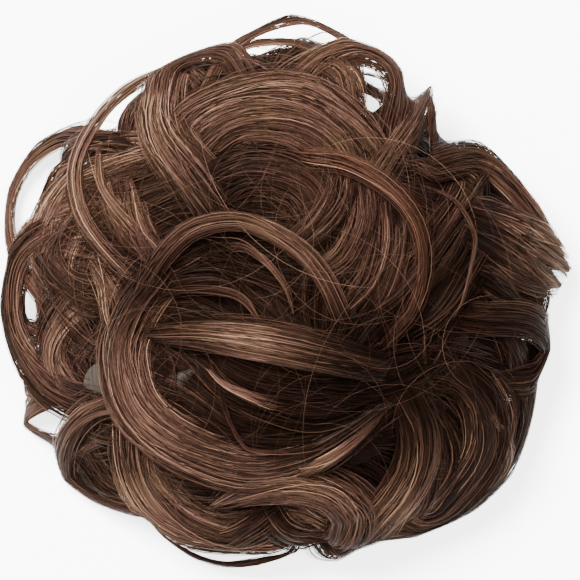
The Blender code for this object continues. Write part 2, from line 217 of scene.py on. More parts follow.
# Gaps through which the surface shows: x, y and half sizes
GAPS = ((-66.2, 22.5, 1.9, 3.8), (-63.4, 28.4, 1.6, 2), (-60.2, 32.3, 1.9, 0.9), (-43.4, 44.2, 1.1, 1.7),
        (-46, 41.2, 1.3, 0.9), (-65.6, -3.9, 1.4, 1.6), (-62.2, -32.4, 2, 1.2), (-8.4, 60, 2.4, 0.7),
        (-4.6, 63.8, 3, 0.5), (2, 64.6, 3.5, 0.7), (8.8, 63.2, 2.4, 0.9), (20.8, 52.8, 1.5, 1.3),
        (20.6, 46.4, 1.6, 1.6))
GAP_CHECKS = 8
GAP_MARGIN = 1.5

# sink: depth below the dome; tone: 0 near black to 1 light tan, which also holds painted light where a lock
# catches the light and painted shade where it runs into shadow; fan: spread of the strands, as a share of
# the width; each is one value, or values at the start, middle and end
# ends: which ends go down to the root: both, start, end or none
Lock = namedtuple("Lock", "name wide thick sink tone path fan ends", defaults=(1, "both"))


def filler(wide, thick, sink, tone, path, fan=(1.2, 1.4, 1.2)):
    """A lock between others, with both ends in sight."""
    return Lock("filler", wide, thick, sink, tone, path, fan, "none")


# Thin tips that fray the right fan: sink, tone, path, spread of the tip
FRINGE_SIZE = (2.0, 1.6)
FRINGE_FAN = (1.5, 1.2)
FRINGE = (
    (4, (0.4, 0.6, 0.92), ((57, 21), (64, 15), (70, 10.5)), 0.6),
    (4, (0.4, 0.56, 0.84), ((57, 18), (64, 12.5), (71, 8)), 0.6),
    (4, (0.36, 0.56, 0.9), ((57, 15), (65, 10), (72, 5)), 0.6),
    (4, (0.34, 0.5, 0.8), ((57, 12), (64, 8), (71, 3)), 0.6),
    (5, (0.3, 0.48, 0.8), ((56, 10), (62, 5), (68.5, 0.5)), 0.8),
    (5, (0.3, 0.44, 0.66), ((55, 8), (61, 3), (66.5, -2)), 0.8),
)

# The lower row, round the rim
RIM_LOCKS = (
    Lock("loop_left_high", 5, 2.6, (9, 6, 9), (0.5, 0.38, 0.46), ((-52, 39), (-60, 38), (-68, 31),
        (-72, 20), (-70, 9), (-62, -3), (-55, -10)), (3, 0.9, 1.2)),
    Lock("loop_left_low", 7, 3.4, (4, 3, 6), (0.5, 0.36, 0.42), ((-60, 15), (-68.5, 8), (-70.8, -4),
        (-68.6, -14.5), (-61.5, -24), (-51, -29)), (1.2, 1.1, 1.8)),
    Lock("hook_left", 4.4, 2.8, (10, 8, 9), (0.5, 0.44, 0.3), ((-54, -26), (-62, -28), (-68, -32.5),
        (-64, -37), (-55, -38)), (1.6, 1.2, 1.4)),
    Lock("inner_upper_left", 4, 3.2, (7, 6, 6), 0.5, ((-50, 34), (-44, 38), (-38, 39), (-32, 38)), 1.2),
    Lock("band_left", 8, 4.5, (7, 5, 6), (0.5, 0.58, 0.5), ((-54, 24), (-45, 28), (-36, 31), (-26, 32)),
        1.2),
    Lock("fan_left_a", 8, 4.5, (9, 6, 9), (0.55, 0.58, 0.45), ((-48, 30), (-58, 21), (-61, 9), (-54, -2)),
        (1.4, 1.4, 1.2)),
    Lock("fan_left_b", 7, 4, (9, 7, 9), (0.52, 0.56, 0.42), ((-45, 22), (-52, 14), (-55, 4), (-50, -6)),
        (1.5, 1.5, 1.3)),
    Lock("curl_left", 6.5, 4, (8, 6, 8), (0.5, 0.6, 0.45), ((-43, -1), (-52, -3), (-59, -10), (-60, -19),
        (-52, -29)), (1.6, 1.3, 1.3)),
    Lock("knot_top_left", 7, 4.5, (2, 0, 5), (0.55, 0.5, 0.45), ((-33, 46), (-31, 56), (-24, 60), (-15, 59),
        (-10, 51)), (1.2, 1.1, 1.2)),
    Lock("arc_top", 4, 2.4, (6, 3, 6), (0.56, 0.4, 0.5), ((-22, 48), (-17, 58), (-9, 65), (2, 68.3),
        (10, 66), (16, 60)), 0.9),
    Lock("arc_top_inner", 3, 2.4, (7, 5, 7), 0.5, ((-20, 52), (-13, 60), (-3, 62), (5, 60.5), (9, 54))),
    Lock("loop_top_right", 9.5, 5, (4, 2, 4), (0.6, 0.5, 0.25), ((-2, 49), (6, 57), (16, 61), (25, 58),
        (29, 50), (27, 39)), (1.5, 1.1, 0.9)),
    Lock("tuft_top_right", 8.5, 4.5, (5, 4, 5), (0.4, 0.52, 0.44), ((21, 26), (27, 36), (31.5, 43),
        (37.5, 55)), (1.2, 0.9, 0.5), "start"),
    filler(3.6, 3, (6, 5, 7), (0.45, 0.42, 0.3), ((35.5, 49), (36, 42), (37, 34)), (0.6, 1.1, 1.5)),
    Lock("fan_right_high", 9, 4.5, (3, 4, 5), (0.28, 0.44, 0.72), ((35, 31), (46, 33), (53, 29), (61, 20),
        (69, 9)), (1, 0.9, 0.8), "start"),
    Lock("fan_right_mid", 10, 5, 4, (0.25, 0.5, 0.9), ((44, 20), (50, 18), (59, 13), (71, 5)),
        (0.35, 1, 2.2), "start"),
    Lock("fan_right_low", 10, 5, (4, 4, 6), (0.2, 0.34, 0.66), ((42, 15), (50, 11), (58, 6), (70, 1)),
        (0.4, 1, 1.7), "start"),
    Lock("edge_right", 8, 4.5, (6, 4, 6), (0.35, 0.4, 0.4), ((60, -20), (61, -32), (56, -44), (45, -55),
        (31, -60)), (1.2, 1.5, 1.2)),
    Lock("edge_bottom_right", 7, 3.5, (10, 8, 8), 0.4, ((50, -50), (40, -58), (29, -62), (18, -61))),
    Lock("curl_bottom_left", 6.5, 4.5, (5, 4, 6), (0.5, 0.5, 0.42), ((-38, -27), (-48.5, -30), (-55, -37),
        (-57, -46.5), (-50, -53.5), (-37, -56)), (1.3, 1.3, 1.1)),
    Lock("strap_bottom_left", 5, 3.5, (8, 7, 8), 0.45, ((-41, -34), (-51, -38), (-58, -43))),
    Lock("arc_bottom_left", 6, 4, (5, 4, 6), (0.5, 0.56, 0.5), ((-42, -33), (-41, -46), (-35, -56),
        (-25, -61.8), (-12, -63.4), (-1, -61.5)), (1, 1.2, 1.2)),
    Lock("arc_bottom_inner", 6.5, 4, 5, (0.45, 0.55, 0.5), ((-36, -38), (-34, -48), (-26, -57), (-15, -61),
        (-6, -58)), (1, 1.5, 1.3)),
    Lock("thread_bottom", 2.6, 2, (8, 7, 8), 0.5, ((-35.4, -59.5), (-27.8, -66.3), (-17.2, -69.8),
        (-6.3, -68.2), (1, -65))),
    Lock("barrel_bottom", 12, 7, (4, 0, 4), (0.72, 0.48, 0.52), ((-20, -54), (-11, -49), (0, -47.5),
        (10, -50), (15.5, -56), (13, -62)), (0.8, 1.1, 1), "end"),
    filler(9, 4, 7, (0.5, 0.46, 0.4), ((-19, -57), (-9, -58), (2, -59), (13, -62)), (0.8, 1.3, 1)),
    filler(9, 4, 8, (0.4, 0.22, 0.36), ((-56, -34), (-51, -39), (-45, -47), (-37, -54)), (1.2, 1.5, 1.2)),
    filler(8, 4, 11, 0.2, ((-57, -38), (-56, -45), (-50, -50), (-41, -55))),
    filler(10, 4, 9, 0.3, ((-34, -44), (-27, -51), (-17, -55), (-6, -56))),
    filler(9, 4, (11, 10, 10), (0.34, 0.3, 0.3), ((-60, -4), (-58, -12), (-55, -20), (-49, -27))),
    filler(9, 4, 8, (0.1, 0.12, 0.2), ((42, 30), (49, 26), (56, 19), (61, 11))),
    filler(9, 4, 9, (0.3, 0.3, 0.4), ((48, 6), (56, 0), (61, -4), (63, -9)), (1.2, 1.5, 1.2)),
    filler(9, 4, 9, (0.2, 0.2, 0.26), ((42, -12), (50, -15), (59, -16), (66, -15))),
    filler(7, 3.5, 10, (0.2, 0.2, 0.22), ((43, -16), (51, -19), (59, -21), (65, -20)), (1.2, 1.3, 1.2)),
    filler(9, 4, 9, (0.26, 0.26, 0.3), ((60, -14), (61, -25), (58, -36), (50, -46))),
    filler(13, 4, 13, 0.14, ((40, -24), (44, -34), (42, -44), (34, -52))),
    filler(8, 3, 9, 0.26, ((10, 52), (17, 50), (24, 44), (28, 38))),
    filler(7, 3.5, 11, (0.46, 0.4, 0.46), ((-58, 14), (-64, 4), (-63, -8), (-60, -18), (-63, -26)),
        (1.2, 1.1, 1)),
    filler(5, 3, (8, 9, 8), (0.34, 0.26, 0.3), ((-65, 8), (-67, -4), (-64, -15), (-59, -23)),
        (1.2, 1.2, 1.6)),
    filler(7, 3.5, (8, 7, 7), (0.56, 0.58, 0.4), ((-71, 7), (-66, 14), (-58, 18), (-50, 21), (-42, 20)),
        (1, 1.2, 1.4)),
    filler(6, 3, (8, 8, 9), (0.5, 0.42, 0.52), ((-51, 34), (-57, 29), (-61, 22), (-65, 14)), (1.2, 1.2, 1)),
    filler(4, 2.4, 8, (0.5, 0.44, 0.46), ((-35, 51), (-38, 45), (-38, 38), (-36, 33)), (1, 1.2, 1.2)),
    filler(7, 3, 10, (0.16, 0.12, 0.2), ((-31, 49), (-25, 54), (-18, 56), (-11, 52)), (1, 1.3, 1.2)),
    filler(7, 3, 9, (0.46, 0.4, 0.44), ((-14, 53), (-6, 56.5), (2, 57), (9, 53)), (1, 1.3, 1.2)),
    filler(7, 3, (6, 5, 6), (0.52, 0.5, 0.36), ((1, 51), (8, 56), (13.5, 53), (15, 45), (15, 36)),
        (1.2, 1.3, 1.2)),
    filler(4.5, 3, 9, (0.44, 0.46, 0.42), ((-68, -8), (-63, -10.5), (-57, -14)), (1, 1.2, 1.2)),
    filler(4.5, 3, 8, (0.5, 0.5, 0.44), ((-55, -17), (-63, -22), (-66, -26), (-61, -31)), (1.2, 1.3, 1.2)),
) + tuple(filler(*FRINGE_SIZE, sink, tone, path, (*FRINGE_FAN, tip)) for sink, tone, path, tip in FRINGE)

# The upper row, over the crown
CROWN_LOCKS = (
    Lock("loop_upper_left", 5, 3.6, (3, 2, 4), (0.5, 0.55, 0.45), ((-29, 54), (-40, 50), (-49, 40),
        (-53, 29), (-50, 17), (-40, 6), (-30, 0)), (2.2, 0.9, 2.8)),
    Lock("fall_top_left", 12.5, 5, (3, 2, 3), (0.6, 0.56, 0.3), ((-28, 55), (-32, 46), (-30, 37), (-23, 27),
        (-17, 18)), (0.7, 1, 1.35)),
    Lock("curl_right", 9, 4.5, (4, 3, 6), 0.33, ((33, -3), (46, -7), (59, -8), (66, -14), (62, -22),
        (50, -23))),
    Lock("fall_right", 9, 5, (3, 2, 5), (0.25, 0.36, 0.4), ((38, -18), (47, -27), (49, -38), (44, -48),
        (33, -56)), (0.8, 1.4, 1.2)),
    Lock("fall_bottom_right", 10, 5, (3, 1, 6), (0.2, 0.42, 0.5), ((25, -22), (31, -34), (30, -45),
        (23, -56), (12, -65)), (0.7, 1.1, 1.1)),
    Lock("brow_top", 11, 5, (4, 1, 4), (0.5, 0.55, 0.45), ((-30, 33), (-23, 43), (-10, 48), (3, 47),
        (14, 39), (21, 29)), 1.2),
    Lock("brow_inner", 10, 5, (4, 2, 4), (0.4, 0.5, 0.45), ((-23, 30), (-14, 38), (-2, 39), (8, 34),
        (13, 24)), 1.2),
    Lock("swirl_mid", 10, 5, (3, 2, 3), (0.25, 0.44, 0.42), ((-22, 22), (-10, 28), (2, 25), (8, 15)),
        (1.3, 1.4, 1.2)),
    Lock("fan_first", 7, 4, (3, 1, 3), 0.5, ((13, 31), (12, 23), (7, 16), (0, 10))),
    Lock("fan_second", 7, 4, (3, 1, 3), 0.5, ((17, 29), (18, 19), (14, 9), (8, 4))),
    Lock("fan_third", 7, 4, (4, 2, 4), 0.5, ((21, 24), (22, 13), (19, 3), (13, -4))),
    Lock("fan_fourth", 6, 4, (4, 2, 4), 0.45, ((26, 22), (27, 12), (24, 1), (20, -6))),
    Lock("slope_right", 9, 4.5, (3, 2, 4), (0.32, 0.4, 0.3), ((44, 26), (39, 15), (31, 4), (23, -4)),
        (1.2, 1.3, 1.3)),
    Lock("slope_right_low", 8, 4.5, (4, 2, 4), (0.25, 0.3, 0.2), ((48, 13), (42, 3), (35, -6), (27, -11)),
        (1.2, 1.4, 1.3)),
    Lock("hollow_left", 8, 4.5, 6, 0.2, ((-30, -3), (-24, 6), (-14, 9), (-3, 4), (3, -4))),
    Lock("arc_under", 7, 4, (3, 3, 4), 0.22, ((-35, -1), (-24, 2), (-15, 1), (-8, -7))),
    Lock("middle_low", 8, 4.5, 3, (0.18, 0.22, 0.25), ((-23, -17), (-16, -24), (-6, -28), (6, -30),
        (16, -27)), (0.6, 1.1, 1.3)),
    Lock("middle_lower", 8, 4.5, 4, (0.15, 0.2, 0.2), ((-28, -22), (-19, -33), (-6, -37), (9, -36),
        (20, -28)), (0.3, 1.1, 1.3)),
    Lock("middle_right", 9, 4.5, 3, 0.18, ((6, -22), (17, -23), (28, -20), (38, -13))),
)

SWEEP_LOCK = Lock("sweep_lock", 12, 5.5, (3, 1.5, 4), (0.4, 0.62, 0.5), ((-31, 3), (-37.5, -5), (-41, -15),
        (-37.5, -28), (-28, -37), (-13, -43), (0, -42.5), (11, -38), (26, -27)), (0.75, 1.1, 0.3))
# Painted highlight in the middle of the centre lock, painted shade at its two ends
CENTRE_LOCK = Lock("centre_lock", 9.5, 4.5, (2, -2, 2), (0.1, 0.7, 0.06), ((-32, -11), (-20, -11),
        (-6, -13), (8, -16), (22, -19)), (0.05, 1.02, 0.4))
ARC_LOCK = Lock("arc_lock", 4.2, 3.4, (2, -2, 3), (0.26, 0.62, 0.36), ((-38, -2), (-33, 7), (-24, 15),
        (-12, 17), (0, 12), (8, 4), (13, -7)), (1.6, 1.1, 1.5))
HOOP_LOCK = Lock("hoop_lock", 3.6, 3, (1, -2, 2), (0.5, 0.5, 0.38), ((4, 33), (14, 32), (25, 26), (32, 17),
        (34, 6), (31, -5), (24, -13)), (2.4, 1.5, 1.2))

# Locks that are solids of their own: lock, slot, how closely its strands are set
SINGLE_LOCKS = (
    (SWEEP_LOCK, "hair_light", 1.2),
    (CENTRE_LOCK, "hair_light", 1.2),
    (ARC_LOCK, "hair_brown", 1.2),
    (HOOP_LOCK, "hair_red", 0.6),
)
TOP_LOCKS = tuple(lock for lock, slot, density in SINGLE_LOCKS)

# Each row's locks by piece: first, past the last, name
CROWN_PIECES = ((0, 9, "crown_hair_upper"), (9, len(CROWN_LOCKS), "crown_hair_lower"))
OUTER_PIECES = ((0, 11, "outer_hair_left"), (11, 22, "outer_hair_right"),
                (22, len(RIM_LOCKS), "outer_hair_low"))

# Thinner locks and fillers between the others, with no solid of their own
BETWEEN_LOCKS = (
    filler(2, 1.6, (3, 0, 4), (0.35, 0.62, 0.6), ((-35, -3), (-27, 0), (-19, 0), (-12, -2), (-8, -7),
        (-5, -13)), (1.4, 1, 0.6)),
    filler(1.6, 1.2, (4, 0, 4), (0.4, 0.66, 0.5), ((-20, 9), (-13, 11), (-7, 8), (-1, 1), (1, -6)),
        (2, 1, 1)),
    filler(1.6, 1.2, (5, 1, 4), (0.4, 0.66, 0.4), ((-22, -17), (-17, -23), (-11, -26), (-5, -28), (2, -29)),
        (1, 1.4, 2.5)),
    filler(0.8, 0.8, (4, 0, 4), (0.4, 0.56, 0.5), ((-17, -25), (-16, -30), (-13, -37), (-9, -40), (2, -40),
        (13, -37)), (2, 1.5, 3)),
    filler(3, 1.8, (1, -1, 2), (0.6, 0.62, 0.3), ((2, -46), (10, -42), (18, -36), (26, -28)), (2, 1, 0.6)),
    filler(2.4, 1.6, (5, 0, 3), (0.46, 0.54, 0.3), ((51, 31), (44, 22), (36, 10), (28, 0), (21, -6)),
        (2.6, 1.3, 1.8)),
    filler(0.9, 0.8, (2, -2, 2), (0.5, 0.6, 0.5), ((32, 26), (38, 24), (42, 21), (45, 16), (46, 12),
        (45, 6), (43, -2), (40, -8)), 1),
    filler(3.2, 2, (4, 2, 5), (0.4, 0.5, 0.45), ((47, -22), (50, -31), (54, -35), (56, -40), (55, -46),
        (50, -51), (42, -56)), 1),
    filler(2.6, 1.8, (3, 2, 3), (0.5, 0.58, 0.46), ((-48, 36), (-47, 26), (-40, 17), (-30, 8)),
        (1, 1, 2.6)),
    filler(5, 2.5, (5, 3, 5), (0.46, 0.54, 0.36), ((-46, 33), (-44, 21), (-37, 11), (-28, 4)),
        (1.2, 1.4, 1.6)),
    filler(5, 2.5, (4, 3, 4), (0.5, 0.55, 0.4), ((-40, 28), (-38, 18), (-33, 8), (-27, 2)),
        (1.2, 1.6, 1.4)),
    filler(5, 2.5, (4, 3, 4), (0.5, 0.52, 0.4), ((-50, 8), (-45, 0), (-42, -10), (-40, -20)),
        (1.4, 1.4, 1)),
    filler(8, 3, 9, (0.25, 0.2, 0.25), ((-44, -33), (-49, -39), (-50, -46), (-44, -52)), (1.2, 1.5, 1.2)),
    filler(6, 2.5, 8, (0.3, 0.26, 0.3), ((-40, -40), (-46, -42), (-53, -44))),
    filler(7, 3, (7, 6, 7), (0.25, 0.28, 0.25), ((50, -20), (55, -30), (52, -42), (44, -52)),
        (1.2, 1.5, 1.2)),
    filler(6, 3, (5, 5, 6), (0.2, 0.25, 0.3), ((34, -28), (39, -38), (38, -48), (30, -58))),
    filler(6, 3, 5, (0.25, 0.3, 0.3), ((40, 30), (44, 22), (48, 12), (50, 2))),
    filler(6, 3, (5, 4, 5), (0.2, 0.28, 0.3), ((36, 6), (44, 4), (52, 0), (58, -4)), (1.2, 1.5, 1.3)),
)

# Grey patches of painted shade: sheets standing for the shaded floor seen through gaps in the hair: depth
# below the dome, outline
FLOOR_SHADE_PATCHES = (
    (4.0, ((-52.0, -24.0), (-51.0, -20.5), (-48.6, -18.0), (-45.5, -18.0), (-45.5, -26.6),
           (-47.6, -26.2))),
    (4.6, ((-31.6, -21.8), (-27.7, -20.4), (-22.5, -19.0), (-24.8, -21.9), (-28.0, -25.2),
           (-30.4, -23.6))),
)
PATCH_SIDES = 20
PATCH_RINGS = 5

# Painted light and shade: places where the hair is lit more or shaded more than round them, painted into
# its tone: x, y, reach, change of tone
PAINTED_LIGHT_SPOTS = (
    (-16, 6, 10, -0.18), (-27, -16, 7, -0.06), (-36, 4, 8, -0.18),
    (-22, -6, 7, -0.12), (7, 7, 8, -0.08), (-22, 22, 8, -0.07),
    (36, -8, 8, 0.07), (-22, -50, 9, 0.05), (-22, -37, 7, -0.12),
    (4, -29, 15, -0.2), (20, -18, 11, -0.22), (40, 12, 12, -0.12),
    (-15, 24, 10, -0.11), (-8, 40, 14, -0.05), (-46, -42, 6, -0.1),
    (66, 10, 8, 0.16), (-38, -53, 9, 0.16), (8, -53, 8, 0.2),
    (36, -52, 12, 0.28), (29, -58, 5, 0.3), (56, -36, 10, 0.12),
    (-12, -12, 9, 0.08), (-60, 30, 22, 0.06),
)

# Colours along the tone: place, red, green and blue in linear light
BROWN_STOPS = ((0.0, (0.0022, 0.0010, 0.0007)), (0.3, (0.0080, 0.0036, 0.0024)),
               (0.5, (0.0222, 0.0107, 0.0071)), (0.75, (0.058, 0.0298, 0.0203)),
               (1.0, (0.150, 0.091, 0.061)))
RED_STOPS = ((0.0, (0.0022, 0.0009, 0.0006)), (0.3, (0.0084, 0.0032, 0.0019)),
             (0.5, (0.0240, 0.0102, 0.0064)), (0.75, (0.063, 0.0300, 0.0198)),
             (1.0, (0.155, 0.089, 0.061)))
HUE_STOPS = ((0.36, (1.0, 0.945, 0.97)), (0.64, (1.0, 1.03, 0.93)))
CORE_STOPS = ((0.35, (0.0022, 0.0009, 0.0006)), (0.6, (0.0065, 0.0026, 0.0017)),
              (0.8, (0.016, 0.0068, 0.0045)))
# Painted shade: greys of the shaded floor, for the patches seen through gaps
FLOOR_SHADE_STOPS = ((0.3, (0.0115, 0.0092, 0.0070)), (0.7, (0.031, 0.0255, 0.0205)))
RIB_STOPS = ((0.0, (0.008, 0.005, 0.004)), (1.0, (0.04, 0.024, 0.018)))

# Grain of the materials: stretch across and along, depth of tone, scale of the hue's drift
STRAND_GRAIN = (900.0, 5.0, 1.0)
CORE_GRAIN = (45.0, 1.2, 1.0)
GRAIN_TONE = 0.3
HUE_SCALE = 70.0
RIB_SCALE = 600.0
GLEAM_TINT = (1.0, 0.72, 0.56, 1.0)

# Slots of a piece's materials, and the mix node's colour sockets
STRANDS = 0
CORE = 1
SHADE_PATCH_SLOT = 2
MIX_FIRST = 6
MIX_SECOND = 7
MIX_RESULT = 2

# The picture's frame: 580 pixels across, 4 pixels to a millimetre at the curls' height
FRAME_WIDE = 0.145
CAMERA_HEIGHT = 1.6
FOCUS_HEIGHT = 0.03
SENSOR = 36.0
VIEW_END = 20.0
FLOOR_SIZE = 4.0
FLOOR_COLOUR = (0.9, 0.9, 0.89, 1.0)
GLOW_COLOUR = (1.0, 1.0, 0.99, 1.0)
FLOOR_GLOW = 3.0
WHITE = (1.0, 1.0, 1.0, 1.0)
SKY_POWER = 0.85

# Lights in metres and watts: name, place, size, power
LIGHTS = (
    ("key", (-0.50, 0.60, 1.30), 0.7, 165.0),
    ("fill", (0.35, -0.25, 1.5), 1.0, 35.0),
)


def quadratic(values, shares):
    """A curve through the values at the start, middle and end, or one value all along."""
    start, middle, end = np.broadcast_to(values, 3)
    return (start * (1 - shares) * (1 - 2 * shares) + middle * 4 * shares * (1 - shares)
            + end * shares * (2 * shares - 1))


def dome_at(share):
    """Height of the mass of curls, at a share of the way from middle to rim."""
    return RIM_HEIGHT + (CROWN_HEIGHT - RIM_HEIGHT) * (1.0 - share * share) ** DOME_POWER


def dome(x, y):
    return dome_at(min(math.hypot(x, y) / REACH, 1.0))


def outline_reach(x, y):
    """How far the outline reaches towards a place."""
    turns, reaches = np.array(OUTLINE).T
    return np.interp(np.degrees(np.arctan2(y, x)), turns, reaches, period=360.0)


def kept_inside(points):
    """Strands stay above the surface and are eased inside the outline of the curls."""
    x, y = points[..., 0], points[..., 1]
    out = np.maximum(np.hypot(x, y), 1e-6)
    reach = outline_reach(x, y) + EDGE_SPARE
    past = np.maximum(out - (reach - EDGE_SOFT), 0.0)
    eased = np.minimum(out, reach - EDGE_SOFT) + EDGE_SOFT * (1 - np.exp(-past / EDGE_SOFT))
    pull = eased / out
    return np.stack([x * pull, y * pull, np.maximum(points[..., 2], STRAND_FLOOR)], axis=-1)


def clear_of_gaps(lines, margin=0.0):
    """Which strands miss the gaps through which the surface shows."""
    lines = kept_inside(lines)
    clear = np.ones(len(lines), dtype=bool)
    for x, y, half_x, half_y in GAPS:
        for share in np.linspace(0.0, 1.0, GAP_CHECKS, endpoint=False):
            spots = lines[:, :-1] * (1 - share) + lines[:, 1:] * share
            off = (((spots[..., 0] - x) / (half_x + margin)) ** 2
                   + ((spots[..., 1] - y) / (half_y + margin)) ** 2)
            clear &= np.all(off > 1.0, axis=1)
    return clear


def root_beyond(end, before, root):
    """Where a lock's hidden end goes down to."""
    radius, height = root
    ahead = Vector((end.x - before.x, end.y - before.y, 0.0)).normalized() * DIVE_RUN
    flat = Vector((end.x, end.y, 0.0)) + ahead
    flat = flat.normalized() * min(radius, flat.length)
    return Vector((flat.x, flat.y, height))


def lock_route(lock, root):
    """The lock's middle line: the plan path laid on the dome, its ends taken down."""
    at_start, at_middle, at_end = np.broadcast_to(lock.sink, 3)
    if lock.ends == "both" and lock not in TOP_LOCKS:
        at_start, at_end = at_start + ROOT_SINK, at_end + ROOT_SINK
    lowest = FLOOR_CLEAR + lock.thick / 2 + lock.wide / 4
    points = []
    for share, (x, y) in zip(np.linspace(0.0, 1.0, len(lock.path)), lock.path):
        sink = quadratic((at_start, at_middle, at_end), share)
        points.append(Vector((x, y, max(dome(x, y) - sink - lock.thick / 2, lowest))))
    start, end = hidden(lock.ends)
    if end:
        points.append(root_beyond(points[-1], points[-2], root))
    if start:
        points.insert(0, root_beyond(points[0], points[1], root))
    return points


def flank_route(number):
    """One curl of the flank: out over the ring's shoulder, down and back under."""
    middle = math.tau * number / FLANK_CURLS
    lean = FLANK_TURN if number % 2 else -FLANK_TURN
    swell = FLANK_WAVE * math.sin(3 * middle)
    room = float(outline_reach(math.cos(middle), math.sin(middle))) - FLANK_INSET
    last = len(FLANK_COURSE) - 1
    points = []
    for step, (radius, height) in enumerate(FLANK_COURSE):
        turn = middle + lean * (step - last / 2)
        out = min(radius + swell * math.sin(math.pi * step / last), room)
        points.append(Vector((out * math.cos(turn), out * math.sin(turn), height)))
    return points


def smooth_curve(points):
    """Stations on the smooth curve through the points, closer where it bends, and its length."""
    knots = np.array([tuple(point) for point in points])
    before = np.vstack([knots[0] * 2 - knots[1], knots[:-1]])
    after = np.vstack([knots[1:], knots[-1] * 2 - knots[-2]])
    t = np.linspace(0.0, 1.0, CURVE_STEPS + 1)[:-1, None]
    fine = []
    for past, start, end, ahead in zip(before, knots, knots[1:], after[1:]):
        fine.append(0.5 * (2 * start + (end - past) * t
                           + (2 * past - 5 * start + 4 * end - ahead) * t * t
                           + (3 * start - past - 3 * end + ahead) * t * t * t))
    fine = np.vstack(fine + [knots[-1:]])
    steps = np.diff(fine, axis=0)
    lengths = np.linalg.norm(steps, axis=1)
    ways = steps / np.maximum(lengths, TINY)[:, None]
    turns = np.arccos(np.clip(np.sum(ways[1:] * ways[:-1], axis=1), -1.0, 1.0))
    cost = lengths / LONG_STEP + np.concatenate([[0.0], turns]) / TURN_STEP
    walked = np.concatenate([[0.0], np.cumsum(cost)])
    even = np.linspace(0.0, walked[-1], int(math.ceil(walked[-1])) + SPARE_STATIONS)
    places = np.stack([np.interp(even, walked, fine[:, axis]) for axis in range(3)], axis=1)
    far = np.concatenate([[0.0], np.cumsum(lengths)])
    shares = np.interp(even, walked, far) / far[-1]
    return places, shares, far[-1]


def unit(rows):
    return rows / np.maximum(np.linalg.norm(rows, axis=-1, keepdims=True), TINY)


def facing(places):
    """Outward and sideways directions along a lock."""
    ways = unit(np.gradient(places, axis=0))
    looks = []
    for place, way in zip(places, ways):
        low = 1.0 - place[2] / CROWN_HEIGHT
        outward = unit(np.array([*(place[:2] * LEAN * low / RIM_HEIGHT), 1.0]))
        trust = float(np.sum(np.cross(way, outward) ** 2))
        look = outward - way * np.dot(outward, way)
        if looks:
            carried = looks[-1] - way * np.dot(looks[-1], way)
            look = look * trust + carried * (1.0 - trust)
        looks.append(unit(look))
    looks = np.array(looks)
    return looks, np.cross(ways, looks)


def square_to(lines, outward):
    """Sideways and outward directions square to each strand."""
    ways = unit(np.gradient(lines, axis=1))
    up = unit(outward - ways * np.sum(outward * ways, axis=-1, keepdims=True))
    return np.cross(ways, up), up


def hidden(ends):
    """Whether a lock's start and end go down to the root."""
    return ends in ("both", "start"), ends in ("both", "end")


def size_along(shares, ends):
    start, end = (ROOT_SHARE if deep else TIP_SHARE for deep in hidden(ends))
    ends_here = start * (1 - shares) + end * shares
    return ends_here + (1.0 - ends_here) * np.sqrt(np.sin(np.pi * shares))


def taper(shares, rate, tip):
    """A strand's size along it: full but for the two tips."""
    return np.minimum(1.0, np.minimum(shares, 1 - shares) * rate + tip)


def in_scene(name, data):
    made = bpy.data.objects.new(name, data)
    bpy.context.scene.collection.objects.link(made)
    return made


